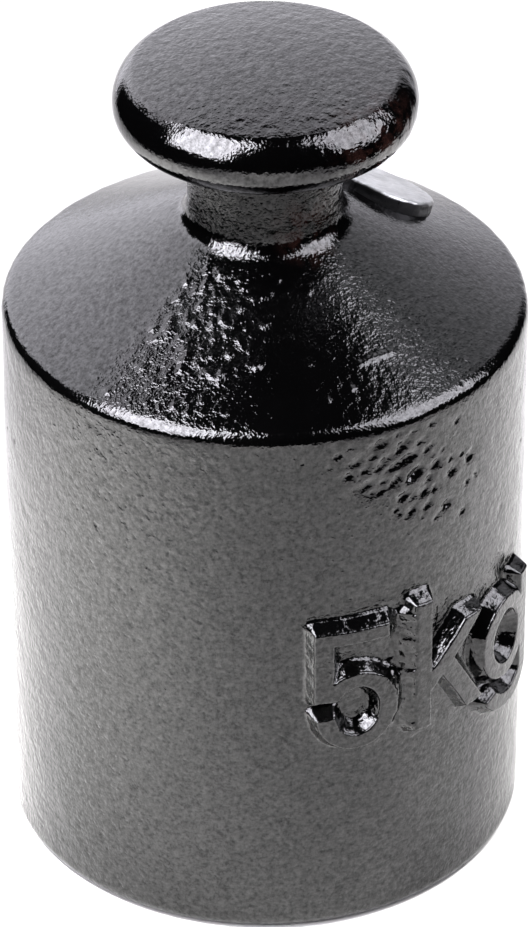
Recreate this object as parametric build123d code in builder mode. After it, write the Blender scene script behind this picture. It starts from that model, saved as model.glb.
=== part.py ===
from build123d import *
import os
from math import sin, cos, tan, radians

# Knob-type cast-iron weight, nominal value 5 kg.  Millimetres, +Z up, origin at the
# centre of the flat base.  The raised marking is centred on -Y.

# ---------------------------------------------------------------- driving dimensions
BODY_R = 44.0            # straight cylindrical side
RIM_Z = 99.85            # plane where side and shoulder lines would meet
RIM_FILLET = 3.3
BASE_FILLET = 2.0
SHOULDER_DEG = 28.0      # slope of the conical shoulder above horizontal
NECK_R = 12.9
NECK_FILLET = 4.2        # sweep from shoulder into neck
KNOB_R = 25.1
KNOB_UNDER_Z = RIM_Z + 33.0
KNOB_LOW_FILLET = 4.6
KNOB_SIDE_TOP_Z = RIM_Z + 37.92
KNOB_TOP_FILLET = 6.6    # long rounding above the knob's widest line
KNOB_TOP_TURN = 58.0     # degrees it turns through
KNOB_EDGE_FILLET = 1.0   # tighter edge where it meets the dome
KNOB_DOME_DEG = 12.0     # tilt of the domed top where it meets the corner
NECK_KNOB_FILLET = 1.6

RELIEF = 2.7             # height of the raised marking above the side
STROKE = 2.9             # stroke width on the marking's outer face
DRAFT_DEG = 25.0         # casting draft of the marking's flanks
GLYPH_AZ = {"five": -20.9, "k": 0.6, "g": 21.6}   # degrees from -Y towards +X

SEAL_AZ = 90.0           # adjusting cavity's direction, degrees from -Y towards +X
SEAL_R = 25.85           # its mouth's distance from the weight's axis
HEAD_R = 8.7             # lead seal, part standing on the shoulder
HEAD_H = 1.95
BORE_R = 7.0             # upper, wider part of the cavity
BORE_DEPTH = 10.0
GROOVE_R = 8.0           # ring groove that locks the lead
GROOVE_TOP = 3.4
GROOVE_H = 2.2
CAVITY_R = 5.6           # lower, narrower part that holds the adjusting shot
CAVITY_DEPTH = 54.0
CAVITY_TIP = 2.4         # drill-point cone
DISC_H = 1.6             # closing disc on the step between the two bores
SHOT_R = 1.8

# ---------------------------------------------------------------- derived profile
slope = radians(SHOULDER_DEG)
corner_z = RIM_Z + (BODY_R - NECK_R) * tan(slope)      # shoulder line meets neck line
dome = radians(KNOB_DOME_DEG)
turn = radians(KNOB_TOP_TURN)
edge_c = (KNOB_R - KNOB_TOP_FILLET + (KNOB_TOP_FILLET - KNOB_EDGE_FILLET) * cos(turn),
          KNOB_SIDE_TOP_Z + (KNOB_TOP_FILLET - KNOB_EDGE_FILLET) * sin(turn))
dome_r = edge_c[0] + KNOB_EDGE_FILLET * sin(dome)      # where the dome meets the edge
dome_z = edge_c[1] + KNOB_EDGE_FILLET * cos(dome)
dome_rad = dome_r / sin(dome)
TOP_Z = dome_z + dome_rad * (1 - cos(dome))


def on_arc(centre, radius, angle):
    return (centre[0] + radius * cos(angle), centre[1] + radius * sin(angle))


knob_c = (KNOB_R - KNOB_TOP_FILLET, KNOB_SIDE_TOP_Z)
knob_mid = on_arc(knob_c, KNOB_TOP_FILLET, turn / 2)
knob_end = on_arc(knob_c, KNOB_TOP_FILLET, turn)
edge_mid = on_arc(edge_c, KNOB_EDGE_FILLET, (turn + radians(90) - dome) / 2)

# ---------------------------------------------------------------- frame of the cavity
az = radians(SEAL_AZ)
radial = Vector(sin(az), -cos(az), 0)
lateral = Vector(cos(az), sin(az), 0)
mouth = radial * SEAL_R + Vector(0, 0, RIM_Z + (BODY_R - SEAL_R) * tan(slope))
normal = radial * sin(slope) + Vector(0, 0, cos(slope))
bore_axis = Axis(mouth, normal)
bore_section = Plane(origin=mouth, x_dir=lateral, z_dir=lateral.cross(normal))
bore_mouth = Plane(origin=mouth, x_dir=lateral, z_dir=normal)


def side_plane(azimuth, distance):
    """Plane facing outwards at an azimuth, local x to the right, local y up."""
    a = radians(azimuth)
    return Plane(origin=(distance * sin(a), -distance * cos(a), 0),
                 x_dir=(cos(a), sin(a), 0), z_dir=(sin(a), -cos(a), 0))


# ---------------------------------------------------------------- turned shape
with BuildPart() as blank:
    with BuildSketch(Plane.XZ) as section:
        with BuildLine():
            Polyline((0, TOP_Z), (0, 0), (BODY_R, 0), (BODY_R, RIM_Z), (NECK_R, corner_z),
                     (NECK_R, KNOB_UNDER_Z), (KNOB_R, KNOB_UNDER_Z), (KNOB_R, KNOB_SIDE_TOP_Z))
            ThreePointArc((KNOB_R, KNOB_SIDE_TOP_Z), knob_mid, knob_end)
            ThreePointArc(knob_end, edge_mid, (dome_r, dome_z))
            ThreePointArc((dome_r, dome_z),
                          (dome_rad * sin(dome / 2), TOP_Z - dome_rad * (1 - cos(dome / 2))),
                          (0, TOP_Z))
        make_face()

        def corner(r, z):
            return section.vertices().sort_by_distance((r, z, 0))[0]

        fillet(corner(BODY_R, 0), BASE_FILLET)
        fillet(corner(BODY_R, RIM_Z), RIM_FILLET)
        fillet(corner(NECK_R, corner_z), NECK_FILLET)
        fillet(corner(NECK_R, KNOB_UNDER_Z), NECK_KNOB_FILLET)
        fillet(corner(KNOB_R, KNOB_UNDER_Z), KNOB_LOW_FILLET)
    revolve(axis=Axis.Z)

# ---------------------------------------------------------------- raised marking
SINK = 0.9                                   # root plane of the letters, below the side
ROOT = BODY_R - SINK
RISE = SINK + RELIEF + 0.8
GROW = (SINK + RELIEF) * tan(radians(DRAFT_DEG))   # how much a flank widens down to the root
HALF = STROKE / 2 + GROW                     # half stroke width on the root plane

with BuildPart() as five:
    with BuildSketch(side_plane(GLYPH_AZ["five"], ROOT)) as five_bar:
        with Locations((-0.75, 61.1)):
            Rectangle(12.5 + 2 * GROW, STROKE - 0.2 + 2 * GROW)
    extrude(amount=RISE, taper=DRAFT_DEG)
    with BuildSketch(side_plane(GLYPH_AZ["five"], ROOT)) as five_stem:
        with Locations((-5.5, 55.6)):
            Rectangle(STROKE + 2 * GROW, 13.8 + 2 * GROW)
    extrude(amount=RISE, taper=DRAFT_DEG)
    with BuildSketch(side_plane(GLYPH_AZ["five"], ROOT)) as five_bowl:
        with Locations((0, 46.0)):
            Circle(7.3 + GROW)
            Circle(4.5 - GROW, mode=Mode.SUBTRACT)
        with BuildLine():
            Polyline((0, 46.0), (-14, 50.2 - GROW), (-14, 44.8 + GROW), (0, 46.0))
        make_face(mode=Mode.SUBTRACT)
    extrude(amount=RISE, taper=DRAFT_DEG)
    with BuildSketch(Plane.XY.offset(28)) as five_skin:
        Circle(BODY_R + RELIEF)
    extrude(amount=45, mode=Mode.INTERSECT)

with BuildPart() as letter_k:
    with BuildSketch(side_plane(GLYPH_AZ["k"], ROOT)) as k_stem:
        with Locations((-4.7, 51.2)):
            Rectangle(STROKE + 2 * GROW, 25.6 + 2 * GROW)
    extrude(amount=RISE, taper=DRAFT_DEG)
    with BuildSketch(side_plane(GLYPH_AZ["k"], ROOT)) as k_arm:
        with BuildLine():
            Polyline((-5.4, 49.4), (2.2, 55.1 + GROW), (9.0 + GROW, 55.1 + GROW),
                     (-2.2, 45.2 - GROW), (-5.4, 43.0), (-5.4, 49.4))
        make_face()
    extrude(amount=RISE, taper=DRAFT_DEG)
    with BuildSketch(side_plane(GLYPH_AZ["k"], ROOT)) as k_leg:
        with BuildLine():
            Polyline((-3.2, 49.0), (3.0, 52.2), (9.6 + GROW, 38.5 - GROW),
                     (3.6 - GROW, 38.5 - GROW), (-3.2, 49.0))
        make_face()
    extrude(amount=RISE, taper=DRAFT_DEG)
    with BuildSketch(Plane.XY.offset(28)) as k_skin:
        Circle(BODY_R + RELIEF)
    extrude(amount=45, mode=Mode.INTERSECT)

with BuildPart() as letter_g:
    with BuildSketch(side_plane(GLYPH_AZ["g"], ROOT)) as g_bowl:
        with Locations((-0.6, 46.2)):
            Circle(7.4 + GROW)
            Circle(4.6 - GROW, mode=Mode.SUBTRACT)
    extrude(amount=RISE, taper=DRAFT_DEG)
    with BuildSketch(side_plane(GLYPH_AZ["g"], ROOT)) as g_stem:
        with Locations((6.3, 45.6)):
            Rectangle(STROKE + 2 * GROW, 17.6 + 2 * GROW)
    extrude(amount=RISE, taper=DRAFT_DEG)
    with BuildSketch(side_plane(GLYPH_AZ["g"], ROOT)) as g_tail:
        with BuildLine():
            Polyline((-7.8 - GROW, 36.4 + GROW), (-7.8 - GROW, 34.0), (-3.4, 29.6 - GROW),
                     (3.6, 29.6 - GROW), (7.8 + GROW, 34.4), (7.8 + GROW, 38.6),
                     (4.8 - GROW, 38.6), (4.8 - GROW, 36.6), (2.6, 34.0 + GROW),
                     (-2.6, 34.0 + GROW), (-4.6, 36.4 + GROW), (-7.8 - GROW, 36.4 + GROW))
        make_face()
    extrude(amount=RISE, taper=DRAFT_DEG)
    with BuildSketch(Plane.XY.offset(24)) as g_skin:
        Circle(BODY_R + RELIEF)
    extrude(amount=45, mode=Mode.INTERSECT)

# ---------------------------------------------------------------- the casting
# One iron casting: body, shoulder, neck, knob and marking, with the adjusting cavity
# machined square to the shoulder.
with BuildPart() as casting:
    add(blank.part)
    add(five.part)
    add(letter_k.part)
    add(letter_g.part)
    with BuildSketch(bore_section) as cavity:
        with BuildLine():
            Polyline((0, 6), (BORE_R, 6), (BORE_R, -GROOVE_TOP), (GROOVE_R, -GROOVE_TOP),
                     (GROOVE_R, -GROOVE_TOP - GROOVE_H), (BORE_R, -GROOVE_TOP - GROOVE_H),
                     (BORE_R, -BORE_DEPTH), (CAVITY_R, -BORE_DEPTH),
                     (CAVITY_R, -CAVITY_DEPTH), (0, -CAVITY_DEPTH - CAVITY_TIP), (0, 6))
        make_face()
    revolve(axis=bore_axis, mode=Mode.SUBTRACT)
casting.part.label = "weight_casting"

# ---------------------------------------------------------------- lead seal
# Driven in until it fills the bore and its groove; the head spreads on the shoulder.
with BuildPart() as seal:
    with BuildSketch(bore_mouth.offset(-3.0)) as head:
        Circle(HEAD_R)
    extrude(amount=3.0 + HEAD_H)
    fillet(seal.faces().sort_by(bore_axis)[-1].edges(), 0.9)
    add(blank.part, mode=Mode.SUBTRACT)
    with BuildSketch(bore_section) as shank:
        with BuildLine():
            Polyline((0, 1), (BORE_R, 1), (BORE_R, -GROOVE_TOP), (GROOVE_R, -GROOVE_TOP),
                     (GROOVE_R, -GROOVE_TOP - GROOVE_H), (BORE_R, -GROOVE_TOP - GROOVE_H),
                     (BORE_R, -BORE_DEPTH + DISC_H), (0, -BORE_DEPTH + DISC_H), (0, 1))
        make_face()
    revolve(axis=bore_axis)
seal.part.label = "lead_seal"

# ---------------------------------------------------------------- closing disc
# Loose disc on the step, which keeps the lead out of the shot.
with BuildPart() as disc:
    with BuildSketch(bore_mouth.offset(-BORE_DEPTH)) as disc_outline:
        Circle(BORE_R - 0.1)
    extrude(amount=DISC_H)
    chamfer(disc.edges().filter_by(GeomType.CIRCLE), 0.3)
disc.part.label = "closing_disc"

# ---------------------------------------------------------------- adjusting shot
# Separate lead balls lying at the bottom of the cavity, in rings of six round one.
with BuildPart() as shot:
    for layer in range(3):
        level = -CAVITY_DEPTH + SHOT_R + 0.05 + layer * (2 * SHOT_R + 0.03)
        with Locations(bore_mouth.offset(level)):
            Sphere(SHOT_R)
            with PolarLocations(CAVITY_R - SHOT_R - 0.08, 6, start_angle=20 * layer):
                Sphere(SHOT_R)
shot.part.label = "adjusting_shot"

os.makedirs("parts", exist_ok=True)
export_step(casting.part, "parts/weight_casting.step")
export_step(seal.part, "parts/lead_seal.step")
export_step(disc.part, "parts/closing_disc.step")
export_step(shot.part, "parts/adjusting_shot.step")

vol = casting.part.volume / 1000
print("casting cm3", round(vol, 1), "at 7.15 g/cm3", round(vol * 7.15), "g")
print("lead cm3", round((seal.part.volume + shot.part.volume) / 1000, 2), "disc cm3",
      round(disc.part.volume / 1000, 2), "top", round(TOP_Z, 2))
print("solids", [len(p.part.solids()) for p in (casting, seal, disc, shot)])
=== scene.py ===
import math

import bpy
import numpy as np
from mathutils import Matrix, Vector


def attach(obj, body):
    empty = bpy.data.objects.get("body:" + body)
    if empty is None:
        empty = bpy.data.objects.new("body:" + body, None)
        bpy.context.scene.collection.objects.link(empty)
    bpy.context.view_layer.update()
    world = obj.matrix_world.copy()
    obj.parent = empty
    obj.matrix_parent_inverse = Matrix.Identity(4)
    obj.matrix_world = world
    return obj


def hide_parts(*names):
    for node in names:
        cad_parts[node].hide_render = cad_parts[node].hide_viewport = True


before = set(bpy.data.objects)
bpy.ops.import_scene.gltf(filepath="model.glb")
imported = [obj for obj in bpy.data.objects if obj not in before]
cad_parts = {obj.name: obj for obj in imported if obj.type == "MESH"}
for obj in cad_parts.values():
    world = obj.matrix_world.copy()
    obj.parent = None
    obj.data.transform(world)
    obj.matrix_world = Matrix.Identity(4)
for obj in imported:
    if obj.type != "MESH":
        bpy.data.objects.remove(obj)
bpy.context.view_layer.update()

scene = bpy.context.scene

# ------------------------------------------------------------------ sizes, in millimetres
R = 44.0
RIM_Z = 99.85
SLOPE = math.radians(28.0)
NECK_R = 12.9
NECK_FIL = 4.2
LOW_FIL = 4.6
KNOB_R = 25.1
KNOB_UNDER = RIM_Z + 33.0
KNOB_SIDE_TOP = RIM_Z + 37.92
TOP_FIL = 6.6
TURN = math.radians(58.0)
EDGE_FIL = 1.0
DOME = math.radians(12.0)
RELIEF = 2.7
FLANK = 1.55
CAM_AZ = -40.0


# ------------------------------------------------------------------ smooth noise
_rng = np.random.default_rng(41)
_PERM = _rng.permutation(4096)
_GRAD = _rng.normal(size=(4096, 3))
_GRAD /= np.linalg.norm(_GRAD, axis=1)[:, None]


def perlin(p, seed=0):
    i = np.floor(p).astype(np.int64)
    f = p - i
    u = f ** 3 * (f * (f * 6 - 15) + 10)
    out = np.zeros(len(p))
    for dx in (0, 1):
        wx = u[:, 0] if dx else 1 - u[:, 0]
        for dy in (0, 1):
            wy = u[:, 1] if dy else 1 - u[:, 1]
            for dz in (0, 1):
                wz = u[:, 2] if dz else 1 - u[:, 2]
                h = _PERM[(i[:, 2] + dz + seed * 77) & 4095]
                h = _PERM[(i[:, 1] + dy + h) & 4095]
                h = _PERM[(i[:, 0] + dx + h) & 4095]
                g = _GRAD[h]
                d = g[:, 0] * (f[:, 0] - dx) + g[:, 1] * (f[:, 1] - dy) + g[:, 2] * (f[:, 2] - dz)
                out += wx * wy * wz * d
    return out * 1.5


def smoothstep(a, b, x):
    t = np.clip((x - a) / (b - a), 0, 1)
    return t * t * (3 - 2 * t)


def ang(a, b):
    """Signed difference of two angles in degrees."""
    return (a - b + 180.0) % 360.0 - 180.0


# ------------------------------------------------------------------ turned profile
def arc(cx, cz, rad, a0, a1, n):
    t = np.radians(np.linspace(a0, a1, n + 1))
    return [(cx + rad * math.cos(a), cz + rad * math.sin(a), math.cos(a), math.sin(a)) for a in t]


def hollow(cx, cz, rad, a0, a1, n):
    """A concave arc: the normal points to its centre."""
    t = np.radians(np.linspace(a0, a1, n + 1))
    return [(cx + rad * math.cos(a), cz + rad * math.sin(a), -math.cos(a), -math.sin(a)) for a in t]


def line(p, q, nrm, n):
    t = np.linspace(0, 1, n + 1)
    return [(p[0] + (q[0] - p[0]) * k, p[1] + (q[1] - p[1]) * k, nrm[0], nrm[1]) for k in t]


corner_z = RIM_Z + (R - NECK_R) * math.tan(SLOPE)
deg_sl = math.degrees(SLOPE)
t_rim = 3.3 * math.tan(math.radians((90 - deg_sl) / 2))
rim_c = (R - 3.3, RIM_Z - t_rim)
t_neck = NECK_FIL * math.tan(math.radians((90 - deg_sl) / 2))
neck_c = (NECK_R + NECK_FIL, corner_z + t_neck)
cone_n = (math.sin(SLOPE), math.cos(SLOPE))
cone_a = (rim_c[0] + 3.3 * cone_n[0], rim_c[1] + 3.3 * cone_n[1])
cone_b = (neck_c[0] - NECK_FIL * cone_n[0], neck_c[1] - NECK_FIL * cone_n[1])
edge_c = (KNOB_R - TOP_FIL + (TOP_FIL - EDGE_FIL) * math.cos(TURN), KNOB_SIDE_TOP + (TOP_FIL - EDGE_FIL) * math.sin(TURN))
dome_r = edge_c[0] + EDGE_FIL * math.sin(DOME)
dome_rad = dome_r / math.sin(DOME)
dome_z = edge_c[1] + EDGE_FIL * math.cos(DOME)
TOP_Z = dome_z + dome_rad * (1 - math.cos(DOME))

# Each run: its points (r, z, normal r, normal z), and its cell width in lattice units.
U = 4                    # lattice units in a base column
N0 = 320                 # base columns
NC = N0 * U
runs = [
    (line((6, 0), (42, 0), (0, -1), 4), 16, "base"),
    (arc(42, 2, 2, -90, 0, 4), 4, "base"),
    (line((R, 2), (R, rim_c[1]), (1, 0), 108), 4, "side"),
    (arc(rim_c[0], rim_c[1], 3.3, 0, 90 - deg_sl, 8), 4, "rim"),
    (line(cone_a, (31.0, cone_a[1] + (cone_a[0] - 31.0) * math.tan(SLOPE)), cone_n, 18), 4, "cone"),
    (line((31.0, cone_a[1] + (cone_a[0] - 31.0) * math.tan(SLOPE)), cone_b, cone_n, 21), 8, "cone"),
    (hollow(neck_c[0], neck_c[1], NECK_FIL, 180 + (90 - deg_sl), 180, 14), 8, "fillet"),
    (line((NECK_R, neck_c[1]), (NECK_R, KNOB_UNDER - 1.6), (1, 0), 18), 8, "neck"),
    (hollow(NECK_R + 1.6, KNOB_UNDER - 1.6, 1.6, 180, 90, 4), 8, "neck"),
    (line((NECK_R + 1.6, KNOB_UNDER), (KNOB_R - LOW_FIL, KNOB_UNDER), (0, -1), 8), 8, "under"),
    (arc(KNOB_R - LOW_FIL, KNOB_UNDER + LOW_FIL, LOW_FIL, -90, 0, 8), 4, "knob"),
    (line((KNOB_R, KNOB_UNDER + LOW_FIL), (KNOB_R, KNOB_SIDE_TOP), (1, 0), 1), 4, "knob"),
    (arc(KNOB_R - TOP_FIL, KNOB_SIDE_TOP, TOP_FIL, 0, 58, 12), 4, "knob"),
    (arc(edge_c[0], edge_c[1], EDGE_FIL, 58, 78, 2), 4, "knob"),
    (arc(0, TOP_Z - dome_rad, dome_rad, 78, 84, 16), 8, "dome"),
    (arc(0, TOP_Z - dome_rad, dome_rad, 84, 88, 11), 16, "dome"),
    (arc(0, TOP_Z - dome_rad, dome_rad, 88, 89.6, 4), 32, "dome"),
]
rows, widths, zones = [], [], []
for pts, w, name in runs:
    start = 0 if not rows else 1
    for p in pts[start:]:
        rows.append(p)
    for _ in range(len(pts) - 1):
        widths.append(w)
        zones.append(name)
rows = np.array(rows)                       # base rows, one more than row intervals
n_int = len(widths)
seg = np.hypot(np.diff(rows[:, 0]), np.diff(rows[:, 1]))
S_BASE = np.concatenate([[0], np.cumsum(seg)])
fine = np.concatenate([np.linspace(S_BASE[k], S_BASE[k + 1], U, endpoint=False) for k in range(n_int)] + [[S_BASE[-1]]])
prof = [np.interp(fine, S_BASE, rows[:, c]) for c in range(4)]
nl = np.hypot(prof[2], prof[3])
prof[2] /= nl
prof[3] /= nl
NJ = len(fine)

# ------------------------------------------------------------------ raised marking
# Outlines of the outer faces, u to the right along the side and v = height, in millimetres.
def arc_pts(cx, cz, ru, rv, a0, a1, n=26):
    t = np.radians(np.linspace(a0, a1, n))
    return [(cx + ru * math.cos(a), cz + rv * math.sin(a)) for a in t]


def sd_polygon(pts, u, v):
    """Signed distance to a closed polygon, negative inside."""
    p = np.array(pts)
    d2 = np.full(len(u), 1e9)
    inside = np.zeros(len(u), bool)
    for k in range(len(p)):
        ax, ay = p[k]
        bx, by = p[(k + 1) % len(p)]
        ex, ey = bx - ax, by - ay
        wx, wy = u - ax, v - ay
        t = np.clip((wx * ex + wy * ey) / (ex * ex + ey * ey + 1e-12), 0, 1)
        d2 = np.minimum(d2, (wx - ex * t) ** 2 + (wy - ey * t) ** 2)
        if ay != by:
            cross = ((ay > v) != (by > v)) & (u < ex * (v - ay) / (by - ay) + ax)
            inside ^= cross
    d = np.sqrt(d2)
    return np.where(inside, -d, d)


FIVE = ([(-7.0, 62.4), (5.6, 62.4), (5.6, 59.8), (-3.9, 59.8)]
        + arc_pts(0.2, 46.0, 7.0, 7.6, 126, -172, 40)
        + arc_pts(0.2, 46.0, 4.0, 4.9, -172, 148, 40)
        + [(-7.0, 48.5)])
KAY = [(-6.3, 63.8), (-3.2, 63.8), (-3.2, 49.2), (4.3, 56.6), (8.2, 56.6), (1.7, 50.0), (8.7, 38.4),
       (5.0, 38.4), (-0.7, 47.7), (-3.2, 45.3), (-3.2, 38.4), (-6.3, 38.4)]
GEE_OUT = arc_pts(-0.6, 46.2, 7.1, 7.9, 0, 354, 60)
GEE_IN = arc_pts(-0.6, 46.2, 4.1, 5.2, 0, 354, 50)
GEE_STEM = [(4.6, 55.4), (7.5, 55.4), (7.5, 36.6), (4.6, 36.6)]
GEE_TAIL = arc_pts(0.3, 37.2, 7.2, 5.5, 4, -163, 36) + arc_pts(0.3, 37.2, 4.3, 2.7, -163, 4, 30)
GLYPHS = ((-20.9, 48.5, 11.5, 18.0), (0.6, 51.0, 12.0, 17.5), (21.6, 44.5, 12.0, 17.0))


def marking_distance(az, z):
    """Distance outside the marking's outer faces; az in degrees, z in millimetres."""
    d = np.full(len(az), 99.0)
    for k, (a0, zc, hu, hv) in enumerate(GLYPHS):
        u = np.radians(ang(az, a0)) * (R + 1.35)
        m = (np.abs(u) < hu + 2) & (np.abs(z - zc) < hv + 2)
        if not m.any():
            continue
        um, vm = u[m], z[m]
        if k == 0:
            s = sd_polygon(FIVE, um, vm)
        elif k == 1:
            s = sd_polygon(KAY, um, vm)
        else:
            s = np.maximum(sd_polygon(GEE_OUT, um, vm), -sd_polygon(GEE_IN, um, vm))
            s = np.minimum(s, sd_polygon(GEE_STEM, um, vm))
            s = np.minimum(s, sd_polygon(GEE_TAIL, um, vm))
        d[m] = np.minimum(d[m], s)
    return d


# Dimples and pits: azimuth, height, radius and depth.  The first group is a field of
# dimples high on the side, right of the marking's middle; the second is scattered.
FIELD = [(-15.4, 96.4, 1.1, 0.34), (-9.4, 95.1, 0.8, 0.3), (-9.8, 93.9, 0.8, 0.3), (-5.0, 94.3, 0.7, 0.26), (-2.7, 92.4, 0.9, 0.28), (1.9, 91.0, 0.6, 0.2), (-24.4, 95.7, 0.7, 0.24), (-26.5, 93.7, 0.6, 0.2), (-20.4, 93.7, 1.1, 0.33), (-16.9, 94.1, 0.8, 0.28), (-13.7, 92.8, 0.9, 0.34), (-8.4, 91.9, 0.9, 0.34), (-6.4, 91.9, 0.8, 0.28), (-0.4, 88.7, 0.8, 0.26), (4.4, 85.4, 0.7, 0.26), (9.9, 86.3, 0.8, 0.28), (12.2, 82.1, 0.5, 0.2), (-21.8, 91.5, 0.8, 0.3), (-18.6, 92.0, 0.9, 0.32), (-11.4, 91.1, 0.9, 0.3), (-10.4, 88.7, 0.8, 0.3), (-5.1, 88.7, 0.8, 0.32), (-6.8, 88.0, 0.8, 0.3), (-2.2, 86.2, 0.9, 0.28), (-17.7, 89.0, 1.0, 0.32), (-13.7, 88.8, 0.7, 0.25), (-16.5, 87.2, 0.6, 0.22), (-14.3, 87.1, 0.8, 0.3), (-9.1, 84.6, 1.0, 0.34), (-3.2, 84.1, 0.9, 0.32), (-0.5, 84.0, 0.7, 0.25), (-6.7, 83.9, 0.6, 0.2), (-2.6, 81.4, 0.9, 0.24), (2.9, 79.5, 1.0, 0.4), (-6.9, 81.3, 0.8, 0.3), (-10.3, 82.6, 0.6, 0.24), (7.8, 76.1, 0.6, 0.24), (-9.8, 81.5, 0.4, 0.18), (9.2, 81.6, 0.5, 0.18), (-10.0, 98.0, 0.9, 0.28), (5.5, 95.0, 0.6, 0.2), (-1.8, 97.2, 0.6, 0.2), (-32.0, 95.3, 0.5, 0.14), (-21.7, 97.1, 0.6, 0.16), (-13.4, 96.4, 0.6, 0.2), (7.6, 88.0, 0.4, 0.2), (4.0, 88.2, 0.5, 0.2), (-1.0, 90.7, 0.4, 0.2), (-6.8, 96.9, 0.5, 0.18), (-0.1, 77.9, 0.5, 0.16), (-14.6, 91.7, 0.6, 0.2), (-11.8, 87.6, 0.5, 0.2), (-19.0, 90.4, 0.6, 0.16), (-4.3, 79.3, 0.4, 0.12)]
PITS = [(-71.7, 97.9, 0.6, 0.2), (-111.8, 79.4, 0.6, 0.2), (-65.1, 90.4, 0.6, 0.14), (-71.1, 90.0, 0.6, 0.12), (-51.1, 91.7, 0.7, 0.16), (-55.9, 88.0, 0.8, 0.13), (-57.5, 81.8, 0.6, 0.24), (-48.1, 87.6, 0.6, 0.12), (-40.4, 87.4, 0.6, 0.14), (-41.4, 81.8, 0.8, 0.13), (-48.3, 84.0, 0.5, 0.1), (-101.4, 62.5, 0.6, 0.22), (-107.3, 50.4, 0.6, 0.22), (-57.4, 69.7, 0.7, 0.28), (-59.0, 68.9, 0.5, 0.16), (-53.5, 67.8, 0.6, 0.22), (-72.4, 67.6, 0.5, 0.16), (-70.9, 66.9, 0.6, 0.18), (-69.7, 63.6, 0.6, 0.16), (-70.3, 59.4, 0.7, 0.16), (-65.5, 63.8, 0.7, 0.1), (-62.8, 65.7, 0.6, 0.12), (-60.9, 75.9, 0.7, 0.12), (-50.3, 77.8, 0.8, 0.14), (-36.9, 76.0, 0.5, 0.13), (-49.5, 72.4, 0.6, 0.15), (-61.6, 70.6, 0.5, 0.12), (-41.6, 52.1, 0.8, 0.22), (-40.6, 60.1, 0.5, 0.14), (-35.3, 59.5, 0.5, 0.14), (-56.7, 52.2, 0.6, 0.14), (-59.3, 51.3, 0.5, 0.13), (-42.9, 55.4, 0.7, 0.13), (-49.1, 53.2, 0.8, 0.08)]
_prng = np.random.default_rng(9)
for _ in range(60):
    PITS.append((float(_prng.uniform(-180, 180)), float(_prng.uniform(6, 96)), float(_prng.uniform(0.4, 0.75)), float(_prng.uniform(0.1, 0.22))))
PITS = [p for p in PITS if marking_distance(np.array([p[0]]), np.array([p[1]]))[0] > 3.2]
ALL_PITS = np.array(FIELD + PITS)


# ------------------------------------------------------------------ adaptive cells
cells = []                                   # (i, j, width, height) in lattice units
for r in range(n_int):
    w, j = widths[r], r * U
    if zones[r] == "cone":
        # finer cells on the camera's side, where the grain is coarse
        for i in range(0, NC, w):
            if abs(ang((i + w / 2) * 360.0 / NC - 180.0, CAM_AZ + 2)) < 45:
                cells += [(i + a, j + b, 2, 2) for a in range(0, w, 2) for b in range(0, U, 2)]
            else:
                cells.append((i, j, w, U))
        continue
    if zones[r] != "side":
        cells += [(i, j, w, U) for i in range(0, NC, w)]
        continue
    far = [i for i in range(0, NC, 2 * U) if abs(ang((i + U) * 360.0 / NC - 180.0, CAM_AZ)) > 108]
    cells += [(i, j, 2 * U, U) for i in far]
    far_set = set(far) | {i + U for i in far}
    i = np.array([k for k in range(0, NC, U) if k not in far_set])
    az = (i + U / 2) * 360.0 / NC - 180.0
    z = np.full(len(i), 0.5 * (rows[r][1] + rows[r + 1][1]))
    d = marking_distance(az, z)
    level = np.where((d > -0.9) & (d < 2.5), 2, np.where(d < 3.2, 1, 0))
    pd = np.full(len(i), 99.0)
    for a0, z0, pr, dep in ALL_PITS:
        if abs(z[0] - z0) < 3:
            pd = np.minimum(pd, np.hypot(np.radians(ang(az, a0)) * R, z - z0) - pr)
    level = np.maximum(level, np.where(pd < 0.75, 1, 0))
    if 76 < z[0] < 97:
        level = np.maximum(level, np.where(pd < 0.1, 2, 0))
    for ii, lv in zip(i, level):
        s = U >> int(lv)
        for a in range(0, U, s):
            for b in range(0, U, s):
                cells.append((int(ii) + a, j + b, s, s))
cells = np.array(cells, dtype=np.int64)

used = np.zeros((NC, NJ), bool)
ci, cj, cw, ch = cells.T
for di, dj in ((0, 0), (1, 0), (0, 1), (1, 1)):
    used[(ci + di * cw) % NC, cj + dj * ch] = True
index = np.full((NC, NJ), -1, dtype=np.int64)
vi, vj = np.nonzero(used)
index[vi, vj] = np.arange(len(vi))

faces = []
for i, j, w, h in cells.tolist():
    f = []
    if w == 1 and h == 1:
        f = [index[i, j], index[(i + 1) % NC, j], index[(i + 1) % NC, j + 1], index[i, j + 1]]
    else:
        for a in range(w):
            k = index[(i + a) % NC, j]
            if k >= 0:
                f.append(k)
        for b in range(h):
            k = index[(i + w) % NC, j + b]
            if k >= 0:
                f.append(k)
        for a in range(w, 0, -1):
            k = index[(i + a) % NC, j + h]
            if k >= 0:
                f.append(k)
        for b in range(h, 0, -1):
            k = index[i, j + b]
            if k >= 0:
                f.append(k)
    faces.append([int(k) for k in f])

# ------------------------------------------------------------------ surface
az = vi * 360.0 / NC - 180.0
th = np.radians(az)
pr, pz, pnr, pnz = (p[vj] for p in prof)
s_arc = fine[vj]
zone_of_row = np.array([zones[min(k // U, n_int - 1)] for k in range(NJ)])
zone = zone_of_row[vj]
base = np.stack([pr * np.sin(th), -pr * np.cos(th), pz], 1)
normal = np.stack([pnr * np.sin(th), -pnr * np.cos(th), pnz], 1)
cam_az = ang(az, CAM_AZ)                      # azimuth from the camera's front, + to its right

side_w = smoothstep(0.8, 3.0, pz) * (1 - smoothstep(95.2, 97.6, pz)) * (zone == "side")
d_mark = marking_distance(az, pz)
d_mark[zone != "side"] = 99.0

disp = np.zeros(len(base))
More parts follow.
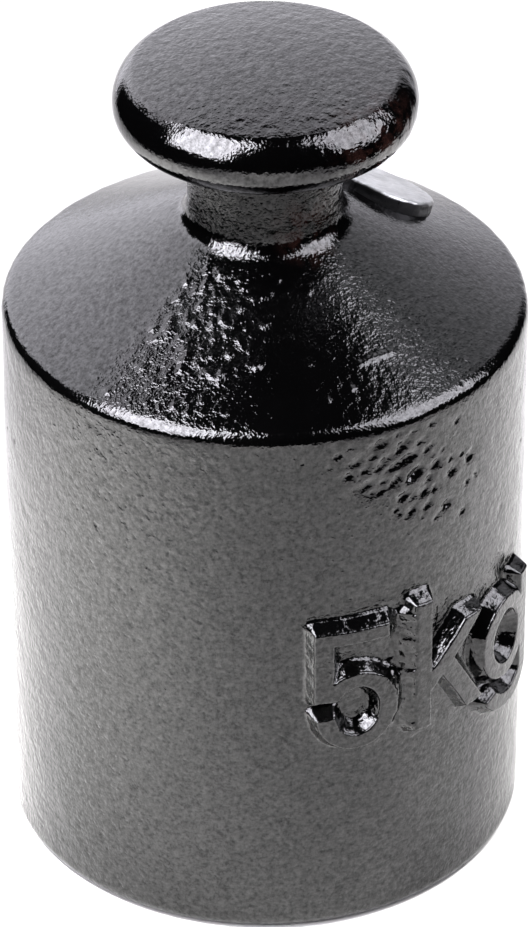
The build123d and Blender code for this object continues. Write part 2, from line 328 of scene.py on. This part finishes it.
# waviness of the cast wall, then the enamel's coarse orange peel
disp += 0.10 * perlin(base / 17.0, 1)
peel = 0.55 * perlin(base / 3.1, 2) + 0.45 * perlin(base / 1.9, 3)
# on the side the enamel sagged into short slanting ripples
slant_u = np.radians(cam_az) * R
slant = np.stack([(slant_u * 0.80 - pz * 0.60) / 4.2, (slant_u * 0.60 + pz * 0.80) / 1.9, 0 * pz + 5.5], 1)
peel = np.where(zone == "side", 0.35 * peel + 0.75 * perlin(slant, 14), peel)
amp = 0.062 * (1 + 0.7 * perlin(base / 24.0, 4))
amp += 0.055 * smoothstep(50, 80, np.abs(cam_az + 6))
amp = np.where((zone == "dome"), 0.022, amp)
amp = np.where((zone == "under") | (zone == "base"), 0.012, amp)
front = np.exp(-(cam_az / 42.0) ** 2)
amp = np.where((zone == "cone") | (zone == "fillet"), 0.030 + 0.020 * front, amp)
amp = np.where((zone == "knob"), 0.020 + 0.17 * smoothstep(30, 50, cam_az) * (1 - smoothstep(75, 110, cam_az)), amp)
amp = np.where((zone == "neck"), 0.045, amp)
amp = np.where(d_mark < 1.9, 0.045, amp)
disp += amp * peel
# coarse grain low on the front of the shoulder, the size of the sand in the mould
sand = 0.6 * perlin(base / 1.25, 11) + 0.4 * perlin(base / 0.8, 12)
sand_w = (zone == "cone") * np.exp(-(ang(cam_az, 0.0) / 36.0) ** 2) * (0.45 + 0.55 * smoothstep(16.0, 30.0, pr) + 1.0 * smoothstep(32.0, 38.0, pr))
disp += 0.050 * sand_w * sand
# isolated grains under the enamel, most of them on the front left of the shoulder
_grng = np.random.default_rng(17)
for _ in range(150):
    g_psi = float(_grng.normal(-19, 17))
    g_r = float(_grng.uniform(16.5, 41.5))
    g_rad, g_h = float(_grng.uniform(0.35, 0.75)), float(_grng.uniform(0.10, 0.22))
    g_a = math.radians(g_psi + CAM_AZ)
    g_x, g_y = g_r * math.sin(g_a), -g_r * math.cos(g_a)
    m = (zone == "cone") & (np.abs(base[:, 0] - g_x) < 2.5) & (np.abs(base[:, 1] - g_y) < 2.5)
    rr = np.hypot(base[m, 0] - g_x, base[m, 1] - g_y) / g_rad
    disp[m] += g_h * np.exp(-rr ** 2)
# two short raised scars on the shoulder
for psi_a, r_a, psi_b, r_b, s_h in ((27.0, 33.5, 38.0, 33.3, 0.20), (-17.0, 33.5, -12.0, 35.0, 0.18)):
    t_a, t_b = math.radians(psi_a + CAM_AZ), math.radians(psi_b + CAM_AZ)
    p_a = np.array([r_a * math.sin(t_a), -r_a * math.cos(t_a)])
    p_b = np.array([r_b * math.sin(t_b), -r_b * math.cos(t_b)])
    along_t = np.clip(((base[:, :2] - p_a) @ (p_b - p_a)) / ((p_b - p_a) @ (p_b - p_a)), 0, 1)
    off = np.hypot(*(base[:, :2] - p_a - along_t[:, None] * (p_b - p_a)).T) + 0.18 * perlin(base / 0.9, 31)
    disp += np.where(zone == "cone", s_h * np.exp(-(off / 0.42) ** 2), 0.0)
# a low swelling where the dimple field lies
field_u = np.radians(ang(az, -8.0)) * R
field_w = np.exp(-((field_u / 15.0) ** 2 + ((pz - 89.0) / 8.0) ** 2)) * side_w
wave = np.stack([(field_u * 0.85 + pz * 0.53) / 3.4, (pz * 0.85 - field_u * 0.53) / 1.7, 0 * pz + 2.5], 1)
disp += 0.23 * field_w * perlin(wave, 5)
# the dimples and pits
for pit_no, (a0, z0, r0, dep) in enumerate(ALL_PITS):
    m = (np.abs(pz - z0) < 3.5) & (zone == "side") & (np.abs(ang(az, a0)) < 5)
    du = np.radians(ang(az[m], a0)) * R
    dv = pz[m] - z0
    rise = 32.0 if len(FIELD) > pit_no else -40.0           # the dimples rise to the right, stray pits fall
    ca, sa = math.cos(math.radians(rise)), math.sin(math.radians(rise))
    wob = 0.35 * perlin(base[m] / 0.9, 6)
    wide = 1.55 if len(FIELD) > pit_no else 1.25
    shrink = 1.08 if len(FIELD) > pit_no else 0.62
    rr = np.hypot((du * ca + dv * sa) / wide, (dv * ca - du * sa) / 0.85) / (r0 * shrink) + wob * 0.6
    deep = 1.25 if len(FIELD) > pit_no else 0.80
    disp[m] -= deep * dep * np.exp(-(rr ** 2) * 1.25)

# raised marking with drafted flanks
edge = 0.13 * perlin(base / 1.8, 8) + 0.045 * perlin(base / 0.8, 9)
# the flank between the 5 and the k's stem is a long one
k_u = np.radians(ang(az, 0.6)) * (R + 1.35)
long_flank = smoothstep(-11.5, -9.5, k_u) * (1 - smoothstep(-6.4, -5.8, k_u)) * smoothstep(37.5, 40.0, pz) * (1 - smoothstep(62.0, 63.6, pz))
lin = RELIEF * (1 - (d_mark + edge * (1 + 2.6 * long_flank)) / (FLANK + 1.15 * long_flank))


def soft_max0(x, k):
    return np.where(x > k, x, np.where(x < -k, 0.0, (x + k) ** 2 / (4 * k)))


relief = soft_max0(lin, 0.42)
relief = RELIEF - soft_max0(RELIEF - relief, 0.36)
relief = np.where(d_mark < 8, relief, 0.0)

on_face = 1 - smoothstep(-0.3, 0.3, d_mark)
disp = np.where(d_mark < 8, disp * (1 - 0.25 * on_face), disp)
disp = np.where(zone == "base", np.minimum(disp, 0.0) * 0.3, disp)
disp += relief
# nothing may stand outside the casting's outer limits: side, base and the top of the dome
disp -= 0.10 * smoothstep(0.8, 3.0, pz) * (1 - smoothstep(98.0, 99.6, pz)) * ((zone == "side") | (zone == "rim")) * (d_mark > 3.0)
disp -= 0.10 * field_w
room = np.full(len(pz), 99.0)
room[(zone == "side") | (zone == "base")] = 0.0
room = np.where(zone == "rim", R - pr, room)
room = np.where(zone == "dome", TOP_Z - pz, room)
room = np.where(d_mark < 3.0, 99.0, room)
disp = np.minimum(disp, room)
co = base + normal * disp[:, None]
co[:, 2] = np.maximum(co[:, 2], 0.0)

# close both ends
n_v = len(co)
low_ring = [int(index[i, 0]) for i in range(NC) if index[i, 0] >= 0]
top_ring = [int(index[i, NJ - 1]) for i in range(NC) if index[i, NJ - 1] >= 0]
co = np.vstack([co, [[0, 0, 0]], [[0, 0, TOP_Z]]])
for k in range(len(low_ring)):
    faces.append([n_v, low_ring[(k + 1) % len(low_ring)], low_ring[k]])
for k in range(len(top_ring)):
    faces.append([n_v + 1, top_ring[k], top_ring[(k + 1) % len(top_ring)]])
tris = sum(len(f) - 2 for f in faces)
print("casting triangles", tris)


def new_mesh(name, verts_mm, polys, smooth=True):
    me = bpy.data.meshes.new(name)
    verts = np.asarray(verts_mm, np.float64) * 0.001
    me.vertices.add(len(verts))
    me.vertices.foreach_set("co", verts.astype(np.float32).ravel())
    loops = np.fromiter((k for f in polys for k in f), np.int32)
    sizes = np.array([len(f) for f in polys], np.int32)
    starts = np.concatenate([[0], np.cumsum(sizes)[:-1]]).astype(np.int32)
    me.loops.add(len(loops))
    me.loops.foreach_set("vertex_index", loops)
    me.polygons.add(len(polys))
    me.polygons.foreach_set("loop_start", starts)
    me.polygons.foreach_set("loop_total", sizes)
    me.polygons.foreach_set("use_smooth", np.full(len(polys), smooth))
    me.update(calc_edges=True)
    me.validate()
    ob = bpy.data.objects.new(name, me)
    scene.collection.objects.link(ob)
    return ob


casting = new_mesh("casting_surface", co, faces)

# ------------------------------------------------------------------ materials
def nodes_of(name):
    m = bpy.data.materials.new(name)
    m.use_nodes = True
    nt = m.node_tree
    nt.nodes.clear()
    out = nt.nodes.new("ShaderNodeOutputMaterial")
    bs = nt.nodes.new("ShaderNodeBsdfPrincipled")
    nt.links.new(bs.outputs["BSDF"], out.inputs["Surface"])
    return m, nt, bs


def noise(nt, vec, scale, detail=2.0, rough=0.5, dist=0.0):
    n = nt.nodes.new("ShaderNodeTexNoise")
    n.inputs["Scale"].default_value = scale
    n.inputs["Detail"].default_value = detail
    n.inputs["Roughness"].default_value = rough
    n.inputs["Distortion"].default_value = dist
    nt.links.new(vec, n.inputs["Vector"])
    return n.outputs["Fac"]


def ramp(nt, fac, stops):
    r = nt.nodes.new("ShaderNodeValToRGB")
    e = r.color_ramp.elements
    while len(e) < len(stops):
        e.new(0.5)
    for k, (p, c) in enumerate(stops):
        e[k].position = p
        e[k].color = (c[0], c[1], c[2], 1) if isinstance(c, (tuple, list)) else (c, c, c, 1)
    nt.links.new(fac, r.inputs["Fac"])
    return r.outputs["Color"]


def math_node(nt, op, a, b=None, c=None, clamp=False):
    n = nt.nodes.new("ShaderNodeMath")
    n.operation = op
    n.use_clamp = clamp
    for k, x in enumerate((a, b, c)):
        if x is None:
            continue
        if isinstance(x, (int, float)):
            n.inputs[k].default_value = x
        else:
            nt.links.new(x, n.inputs[k])
    return n.outputs[0]


def bump(nt, height, distance, normal_in=None, strength=1.0):
    b = nt.nodes.new("ShaderNodeBump")
    b.inputs["Strength"].default_value = strength
    b.inputs["Distance"].default_value = distance
    nt.links.new(height, b.inputs["Height"])
    if normal_in is not None:
        nt.links.new(normal_in, b.inputs["Normal"])
    return b.outputs["Normal"]


# black stoved enamel over a sand-cast surface
enamel, nt, bs = nodes_of("black_enamel_on_iron")
tc = nt.nodes.new("ShaderNodeTexCoord")
obj = tc.outputs["Object"]


def ramp_range(x, a, b, lo=0.0, hi=1.0):
    n = nt.nodes.new("ShaderNodeMapRange")
    n.interpolation_type = "SMOOTHSTEP"
    n.inputs["From Min"].default_value = a
    n.inputs["From Max"].default_value = b
    n.inputs["To Min"].default_value = lo
    n.inputs["To Max"].default_value = hi
    nt.links.new(x, n.inputs["Value"])
    return n.outputs["Result"]


def near(point_mm, r0_mm, r1_mm):
    """1 inside a ball round a point on the part, 0 outside it."""
    n = nt.nodes.new("ShaderNodeVectorMath")
    n.operation = "DISTANCE"
    nt.links.new(obj, n.inputs[0])
    n.inputs[1].default_value = [c * 0.001 for c in point_mm]
    return ramp_range(n.outputs["Value"], r0_mm * 0.001, r1_mm * 0.001, 1.0, 0.0)


def on_part(psi, r, z):
    """A point at an azimuth counted from the camera's front."""
    a = math.radians(psi + CAM_AZ)
    return (r * math.sin(a), -r * math.cos(a), z)


split = nt.nodes.new("ShaderNodeSeparateXYZ")
nt.links.new(obj, split.inputs[0])
zz = split.outputs["Z"]
_ca, _sa = math.cos(math.radians(CAM_AZ)), math.sin(math.radians(CAM_AZ))


def along(vec):
    n = nt.nodes.new("ShaderNodeVectorMath")
    n.operation = "DOT_PRODUCT"
    nt.links.new(obj, n.inputs[0])
    n.inputs[1].default_value = vec
    return n.outputs["Value"]


# azimuth counted from the camera's front, in radians, and the zones of the shoulder by it
psi = math_node(nt, "ARCTAN2", along((_ca, _sa, 0.0)), along((_sa, -_ca, 0.0)))
shoulder = math_node(nt, "MULTIPLY", ramp_range(zz, 0.0995, 0.1010), ramp_range(zz, 0.1165, 0.1195, 1.0, 0.0))
fan = math_node(nt, "MULTIPLY", ramp_range(psi, -0.80, -0.66), ramp_range(psi, 0.75, 1.05, 1.0, 0.0))
fan = math_node(nt, "MULTIPLY", shoulder, fan)
fan_left = math_node(nt, "MULTIPLY", fan, ramp_range(psi, -0.15, 0.15, 1.0, 0.0))
calm = math_node(nt, "MULTIPLY", shoulder, ramp_range(psi, -0.84, -0.70, 1.0, 0.0))
knob_top = ramp_range(zz, 0.1425, 0.1437)
neck = math_node(nt, "MULTIPLY", ramp_range(zz, 0.1165, 0.1190), ramp_range(zz, 0.131, 0.133, 1.0, 0.0))
lumpy = near(on_part(46, 24, 136), 8, 17)
grain_a = noise(nt, obj, 520, 2.0, 0.5)
grain_b = noise(nt, obj, 1150, 2.0, 0.55)
grain_c = noise(nt, obj, 2300, 1.0, 0.5)
# short slanting pores in the enamel of the side
wall = ramp_range(zz, 0.0970, 0.0985, 1.0, 0.0)

pore_v = nt.nodes.new("ShaderNodeCombineXYZ")
nt.links.new(along((_ca * 0.80 * 0.55, _sa * 0.80 * 0.55, -0.60 * 0.55)), pore_v.inputs[0])
nt.links.new(along((_ca * 0.60, _sa * 0.60, 0.80)), pore_v.inputs[1])
nt.links.new(along((-_sa, _ca, 0.0)), pore_v.inputs[2])
pore_n = noise(nt, pore_v.outputs[0], 900, 2.0, 0.55)
pore_side = ramp_range(along((math.sin(math.radians(CAM_AZ - 8)), -math.cos(math.radians(CAM_AZ - 8)), 0)), 0.030, 0.040, 0.15, 1.0)
pore_w = math_node(nt, "MULTIPLY", wall, pore_side)
pore = math_node(nt, "MULTIPLY", ramp_range(pore_n, 0.56, 0.84), pore_w)
mottle = noise(nt, obj, 1150, 4.0, 0.8)
amp_a = math_node(nt, "MULTIPLY_ADD", knob_top, 1.5, math_node(nt, "MULTIPLY_ADD", neck, 1.5, 0.75))
amp_a = math_node(nt, "MULTIPLY_ADD", wall, 0.55, amp_a)
amp_a = math_node(nt, "MULTIPLY_ADD", fan_left, 0.5, math_node(nt, "MULTIPLY_ADD", calm, -0.2, amp_a))
amp_a = math_node(nt, "MULTIPLY_ADD", lumpy, 2.0, amp_a)
amp_b = math_node(nt, "MULTIPLY_ADD", fan, 0.25, math_node(nt, "MULTIPLY_ADD", fan_left, 0.75, 0.60))
amp_b = math_node(nt, "MULTIPLY_ADD", calm, -0.28, amp_b)
amp_b = math_node(nt, "MULTIPLY_ADD", wall, 0.45, amp_b)
amp_b = math_node(nt, "MULTIPLY_ADD", knob_top, 0.5, amp_b)
amp_b = math_node(nt, "MULTIPLY_ADD", neck, 0.5, amp_b)
# the rounded side of the knob, worn smooth by hands
knob_side = math_node(nt, "MULTIPLY", ramp_range(zz, 0.1325, 0.1345), ramp_range(zz, 0.1418, 0.1426, 1.0, 0.0))
amp_a = math_node(nt, "MULTIPLY_ADD", knob_side, -0.35, amp_a)
amp_b = math_node(nt, "MULTIPLY_ADD", knob_side, -0.28, amp_b)
# the flanks of the marking are smoother than the wall
reach = nt.nodes.new("ShaderNodeCombineXYZ")
nt.links.new(split.outputs["X"], reach.inputs[0])
nt.links.new(split.outputs["Y"], reach.inputs[1])
radius = nt.nodes.new("ShaderNodeVectorMath")
radius.operation = "LENGTH"
nt.links.new(reach.outputs[0], radius.inputs[0])
flank = math_node(nt, "MULTIPLY", ramp_range(radius.outputs["Value"], 0.0441, 0.0446), ramp_range(radius.outputs["Value"], 0.0463, 0.0466, 1.0, 0.0))
amp_a = math_node(nt, "MULTIPLY_ADD", flank, -0.95, amp_a)
amp_b = math_node(nt, "MULTIPLY_ADD", flank, -0.75, amp_b)
h = math_node(nt, "MULTIPLY", grain_a, amp_a)
h = math_node(nt, "MULTIPLY_ADD", grain_b, amp_b, h)
h = math_node(nt, "MULTIPLY_ADD", grain_c, 0.22, h)
h = math_node(nt, "MULTIPLY_ADD", math_node(nt, "MULTIPLY", pore_n, pore_w), -0.8, h)
h = math_node(nt, "MULTIPLY_ADD", pore, -0.5, h)
nt.links.new(bump(nt, h, 0.0001), bs.inputs["Normal"])
tint = noise(nt, obj, 55, 3.0, 0.6)
black = ramp(nt, tint, [(0.25, (0.0002, 0.0002, 0.00022)), (0.75, (0.0004, 0.00038, 0.00042))])
# thin enamel shows the brown primer on the knob's right rim and at the neck's foot
rust = noise(nt, obj, 330, 3.0, 0.65)
brown_w = math_node(nt, "MULTIPLY", near(on_part(52, 24.5, 134.5), 5, 14), ramp_range(rust, 0.42, 0.62))
brown_n = math_node(nt, "MULTIPLY", near(on_part(34, 13.5, 120.5), 2.5, 8), ramp_range(rust, 0.38, 0.58))
brown_w = math_node(nt, "MAXIMUM", brown_w, brown_n)
mix = nt.nodes.new("ShaderNodeMix")
mix.data_type = "RGBA"
nt.links.new(brown_w, mix.inputs[0])
nt.links.new(black, mix.inputs[6])
mix.inputs[7].default_value = (0.0085, 0.0036, 0.0030, 1)
nt.links.new(mix.outputs[2], bs.inputs["Base Color"])
rgh = noise(nt, obj, 240, 3.0, 0.6)
nt.links.new(ramp(nt, rgh, [(0.3, 0.055), (0.7, 0.095)]), bs.inputs["Roughness"])
bs.inputs["Metallic"].default_value = 0.0
bs.inputs["IOR"].default_value = 1.5
# dust and fine pores break up the gloss; on the neck, under the knob, the gloss is halved as painted shade
gloss = ramp(nt, mottle, [(0.35, 0.26), (0.65, 0.74)])
gloss = math_node(nt, "MULTIPLY", gloss, math_node(nt, "MULTIPLY_ADD", pore, -0.45, 1.0))
nt.links.new(math_node(nt, "MULTIPLY", gloss, math_node(nt, "MULTIPLY_ADD", neck, -0.5, 1.0)), bs.inputs["Specular IOR Level"])
casting.data.materials.append(enamel)

# lead: dull grey, hammered, with fine streaks
lead, nt, bs = nodes_of("lead_hammered")
tc = nt.nodes.new("ShaderNodeTexCoord")
obj = tc.outputs["Object"]
mp = nt.nodes.new("ShaderNodeMapping")
mp.inputs["Scale"].default_value = (1.0, 5.0, 1.0)
mp.inputs["Rotation"].default_value = (0, 0, math.radians(35))
nt.links.new(obj, mp.inputs["Vector"])
streak = noise(nt, mp.outputs["Vector"], 420, 4.0, 0.6)
blot = noise(nt, obj, 260, 3.0, 0.6)
h = math_node(nt, "MULTIPLY_ADD", streak, 0.7, blot)
nt.links.new(bump(nt, h, 0.00016), bs.inputs["Normal"])
# painted shade: the seal's wall, turned away from the shoulder's normal, is coloured near-black, while the face keeps
# the lead's grey
face_up = nt.nodes.new("ShaderNodeVectorMath")
face_up.operation = "DOT_PRODUCT"
geo = nt.nodes.new("ShaderNodeNewGeometry")
nt.links.new(geo.outputs["True Normal"], face_up.inputs[0])
face_up.inputs[1].default_value = (math.sin(SLOPE), 0.0, math.cos(SLOPE))
lead_wall_painted_shade = nt.nodes.new("ShaderNodeMix")
lead_wall_painted_shade.data_type = "RGBA"
nt.links.new(ramp_range(face_up.outputs["Value"], 0.25, 0.75), lead_wall_painted_shade.inputs[0])
lead_wall_painted_shade.inputs[6].default_value = (0.035, 0.035, 0.037, 1)
nt.links.new(ramp(nt, blot, [(0.3, (0.25, 0.253, 0.26)), (0.7, (0.46, 0.465, 0.475))]), lead_wall_painted_shade.inputs[7])
nt.links.new(lead_wall_painted_shade.outputs[2], bs.inputs["Base Color"])
nt.links.new(ramp(nt, streak, [(0.3, 0.26), (0.7, 0.44)]), bs.inputs["Roughness"])
bs.inputs["Metallic"].default_value = 0.9

# brass for the hidden disc
brass, nt, bs = nodes_of("brass_turned")
tc = nt.nodes.new("ShaderNodeTexCoord")
obj = tc.outputs["Object"]
blot = noise(nt, obj, 300, 3.0, 0.6)
nt.links.new(ramp(nt, blot, [(0.3, (0.55, 0.38, 0.14)), (0.7, (0.70, 0.52, 0.22))]), bs.inputs["Base Color"])
nt.links.new(ramp(nt, blot, [(0.3, 0.25), (0.7, 0.4)]), bs.inputs["Roughness"])
nt.links.new(bump(nt, blot, 0.00003), bs.inputs["Normal"])
bs.inputs["Metallic"].default_value = 1.0

for node, mat in (("adjusting_shot", lead), ("closing_disc", brass)):
    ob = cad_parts[node]
    ob.data.materials.clear()
    ob.data.materials.append(mat)

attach(casting, "root")
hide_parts("weight_casting")

# ------------------------------------------------------------------ lead seal, hammered flat
S_AZ, S_R = math.radians(90.0), 25.85
s_out = np.array([math.sin(S_AZ), -math.cos(S_AZ), 0.0])
s_lat = np.array([math.cos(S_AZ), math.sin(S_AZ), 0.0])
s_mouth = s_out * S_R + np.array([0, 0, RIM_Z + (R - S_R) * math.tan(SLOPE)])
s_nrm = s_out * math.sin(SLOPE) + np.array([0, 0, math.cos(SLOPE)])
s_down = s_out * math.cos(SLOPE) - np.array([0, 0, math.sin(SLOPE)])
H_R, H_H, H_F = 8.7, 1.95, 0.75
sp = [(H_R - H_F, H_H)] + [(H_R - H_F + H_F * math.sin(t), H_H - H_F + H_F * math.cos(t)) for t in np.radians(np.linspace(11, 90, 8))]
sp = [(x, H_H) for x in np.linspace(0.35, H_R - H_F - 0.3, 20)] + sp
sp += [(H_R, h) for h in np.linspace(H_H - H_F - 0.25, -0.85, 7)]
sp += [(7.9, -1.3), (7.0, -1.6), (7.0, -3.4), (8.0, -3.4), (8.0, -5.6), (7.0, -5.6), (7.0, -8.4), (3.0, -8.4), (0.6, -8.4)]
sp = np.array(sp)
NS = 160
t_s = np.linspace(0, 2 * np.pi, NS, endpoint=False)
rr_, tt_ = np.repeat(sp[:, 0], NS), np.tile(t_s, len(sp))
hh_ = np.repeat(sp[:, 1], NS)
xy = np.stack([rr_ * np.cos(tt_), rr_ * np.sin(tt_), hh_], 1)
top_w = smoothstep(-0.6, 0.8, hh_)
# hammer facets on the face, and an edge that was beaten slightly out of round
facet = 0.10 * perlin(np.stack([xy[:, 0] / 3.0, xy[:, 1] / 3.0, 0 * hh_ + 3.3], 1), 21) + 0.05 * perlin(xy / 1.1, 22)
hh2 = hh_ + top_w * (facet - 0.12 * smoothstep(3.5, 8.2, rr_) + 0.0)
grow = 1 - top_w * (0.012 + 0.02 * perlin(np.stack([np.cos(tt_) * 1.6, np.sin(tt_) * 1.6, 0 * tt_ + 7.7], 1), 23)) + top_w * 0.012 * perlin(xy / 1.4, 24)
grow = np.minimum(grow, 1.0)
# below the face the wall follows the shoulder's curve
sv = (s_mouth[None] + (rr_ * grow * np.cos(tt_))[:, None] * s_lat[None] + (rr_ * grow * np.sin(tt_))[:, None] * s_down[None] + hh2[:, None] * s_nrm[None])
sf = []
for k in range(len(sp) - 1):
    for j in range(NS):
        j2 = (j + 1) % NS
        sf.append([k * NS + j, (k + 1) * NS + j, (k + 1) * NS + j2, k * NS + j2])
nv = len(sv)
sv = np.vstack([sv, [s_mouth + s_nrm * (H_H + float(facet[:NS].mean()))], [s_mouth - s_nrm * 8.4]])
sf += [[nv, j, (j + 1) % NS] for j in range(NS)]
sf += [[nv + 1, (len(sp) - 1) * NS + (j + 1) % NS, (len(sp) - 1) * NS + j] for j in range(NS)]
seal = new_mesh("seal_hammered", sv, sf)
seal.data.materials.append(lead)
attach(seal, "root")
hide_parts("lead_seal")

# ------------------------------------------------------------------ floor
floor_me = bpy.data.meshes.new("floor")
_f = [(-0.27, -0.54), (0.27, -0.54), (0.27, 0.9), (-0.27, 0.9)]          # right of and behind the part, seen from the camera
_c, _s = math.cos(math.radians(CAM_AZ)), math.sin(math.radians(CAM_AZ))
floor_me.from_pydata([(x * _c - y * _s, x * _s + y * _c, 0) for x, y in _f], [], [(0, 1, 2, 3)])
floor = bpy.data.objects.new("floor", floor_me)
scene.collection.objects.link(floor)
fm, nt, bs = nodes_of("floor_paper")
bs.inputs["Base Color"].default_value = (0.204, 0.2014, 0.1973, 1)
bs.inputs["Roughness"].default_value = 0.9
bs.inputs["Specular IOR Level"].default_value = 0.2
floor.data.materials.append(fm)

# ------------------------------------------------------------------ studio: world brightness by direction
world = bpy.data.worlds.new("studio")
scene.world = world
world.use_nodes = True
nt = world.node_tree
nt.nodes.clear()
w_out = nt.nodes.new("ShaderNodeOutputWorld")
bg = nt.nodes.new("ShaderNodeBackground")
nt.links.new(bg.outputs["Background"], w_out.inputs["Surface"])
tc = nt.nodes.new("ShaderNodeTexCoord")
direction = tc.outputs["Generated"]


def dot_with(vec):
    n = nt.nodes.new("ShaderNodeVectorMath")
    n.operation = "DOT_PRODUCT"
    nt.links.new(direction, n.inputs[0])
    n.inputs[1].default_value = vec
    return n.outputs["Value"]


def m_(op, a, b=None, c=None):
    return math_node(nt, op, a, b, c)


def mrange(x, a, b, lo, hi, smooth=True):
    n = nt.nodes.new("ShaderNodeMapRange")
    n.interpolation_type = "SMOOTHSTEP" if smooth else "LINEAR"
    n.inputs["From Min"].default_value = a
    n.inputs["From Max"].default_value = b
    n.inputs["To Min"].default_value = lo
    n.inputs["To Max"].default_value = hi
    nt.links.new(x, n.inputs["Value"])
    return n.outputs["Result"]


def cam_dir(azimuth, elevation):
    """Direction at an azimuth counted from the camera's front, + to its right."""
    a, e = math.radians(azimuth + CAM_AZ), math.radians(elevation)
    return Vector((math.sin(a) * math.cos(e), -math.cos(a) * math.cos(e), math.sin(e)))


def softbox(azimuth, elevation, half_w, half_h, level, edge=0.03):
    c = cam_dir(azimuth, elevation)
    r = Vector((0, 0, 1)).cross(c).normalized() * -1
    u = c.cross(r).normalized() * -1
    fwd = m_("MAXIMUM", dot_with(c), 1e-3)
    x = m_("ABSOLUTE", m_("DIVIDE", dot_with(r), fwd))
    y = m_("ABSOLUTE", m_("DIVIDE", dot_with(u), fwd))
    mx = mrange(x, half_w - edge, half_w + edge, 1, 0)
    my = mrange(y, half_h - edge, half_h + edge, 1, 0)
    facing = mrange(dot_with(c), 0.0, 0.02, 0, 1)
    return m_("MULTIPLY", m_("MULTIPLY", mx, my), m_("MULTIPLY", facing, level))


height = dot_with(Vector((0, 0, 1)))
behind = dot_with(cam_dir(180, 0))
right = dot_with(cam_dir(90, 0))


def world_azimuth():
    """Azimuth from the camera's back direction, in degrees, 0 behind the part and 180 at the camera."""
    return m_("MULTIPLY", m_("ARCTAN2", m_("ABSOLUTE", right), behind), 180.0 / math.pi)


back_az = world_azimuth()
# a white paper sweep behind the part, brighter on its left, with a dark room above and at the sides
paper = m_("SUBTRACT", 2.2, m_("MULTIPLY", right, 2.15))
paper = m_("MULTIPLY", paper, mrange(height, -0.1, 0.5, 0.74, 1.0))
lim_l = mrange(height, math.sin(math.radians(-2)), math.sin(math.radians(24)), 36.0, 62.0)
lim_l = m_("ADD", lim_l, mrange(height, math.sin(math.radians(26)), math.sin(math.radians(34)), 0.0, 22.0))
lim_r = mrange(height, math.sin(math.radians(4)), math.sin(math.radians(45)), 36.0, 58.0)
edge_l = mrange(m_("SUBTRACT", back_az, lim_l), -1.5, 1.5, 1, 0)
edge_r = mrange(m_("SUBTRACT", back_az, lim_r), -5.0, 4.0, 1, 0)
on_right = mrange(right, -0.02, 0.02, 0, 1)
edge = m_("ADD", m_("MULTIPLY", edge_l, m_("SUBTRACT", 1.0, on_right)), m_("MULTIPLY", edge_r, on_right))
top_edge = mrange(height, math.sin(math.radians(57)), math.sin(math.radians(61)), 1, 0)
paper = m_("MULTIPLY", paper, m_("MULTIPLY", edge, top_edge))
level = m_("ADD", paper, 0.003)
level = m_("ADD", level, softbox(-52, 40, 0.41, 0.50, 19.0, 0.02))
level = m_("ADD", level, softbox(78, 37, 0.42, 0.47, 8.0, 0.02))
nt.links.new(level, bg.inputs["Strength"])
bg.inputs["Color"].default_value = (0.985, 0.97, 1.05, 1)
world.cycles.sampling_method = "MANUAL"
world.cycles.sample_map_resolution = 1024

# pools of light on the floor beside the part; they light the floor and aren't seen in reflections
def pool(azimuth, reach, height_m, energy, cone_deg):
    d = bpy.data.lights.new("pool", "SPOT")
    d.energy = energy
    d.spot_size = math.radians(cone_deg)
    d.spot_blend = 1.0
    d.shadow_soft_size = 0.06
    o = bpy.data.objects.new("pool", d)
    scene.collection.objects.link(o)
    h = cam_dir(azimuth, 0)
    o.location = h * (reach * 1.9) + Vector((0, 0, height_m))
    aim = h * reach - o.location
    o.rotation_euler = aim.to_track_quat("-Z", "Y").to_euler()
    o.visible_glossy = False
    return o


pool(-68, 0.14, 0.5, 182.0, 36)
pool(87, 0.15, 0.5, 73.0, 46)
pool(0, 0.36, 0.7, 225.0, 37)
pool(180, 0.26, 0.7, 45.0, 70)

# ------------------------------------------------------------------ camera
cam_data = bpy.data.cameras.new("camera")
cam = bpy.data.objects.new("camera", cam_data)
scene.collection.objects.link(cam)
scene.camera = cam
E, PITCH, DIST, MID = math.radians(34.86), math.radians(34.22), 1.1088, 0.0507
a = math.radians(CAM_AZ)
back = Vector((math.sin(a) * math.cos(E), -math.cos(a) * math.cos(E), math.sin(E)))
look = Vector((-math.sin(a) * math.cos(PITCH), math.cos(a) * math.cos(PITCH), -math.sin(PITCH)))
ROLL = math.radians(0.05)
side = look.cross(Vector((0, 0, 1))).normalized()
upv = side.cross(look).normalized()
side, upv = side * math.cos(ROLL) + upv * math.sin(ROLL), upv * math.cos(ROLL) - side * math.sin(ROLL)
rot = Matrix((side, upv, -look)).transposed().to_4x4()
cam.matrix_world = Matrix.Translation(Vector((0, 0, MID)) + back * DIST) @ rot
cam_data.sensor_width = 36.0
cam_data.lens = 252.0
cam_data.clip_start = 0.01
cam_data.clip_end = 50
cam_data.dof.use_dof = False

scene.view_settings.view_transform = "Standard"
scene.view_settings.look = "None"
scene.view_settings.exposure = 0.0

bpy.context.view_layer.update()
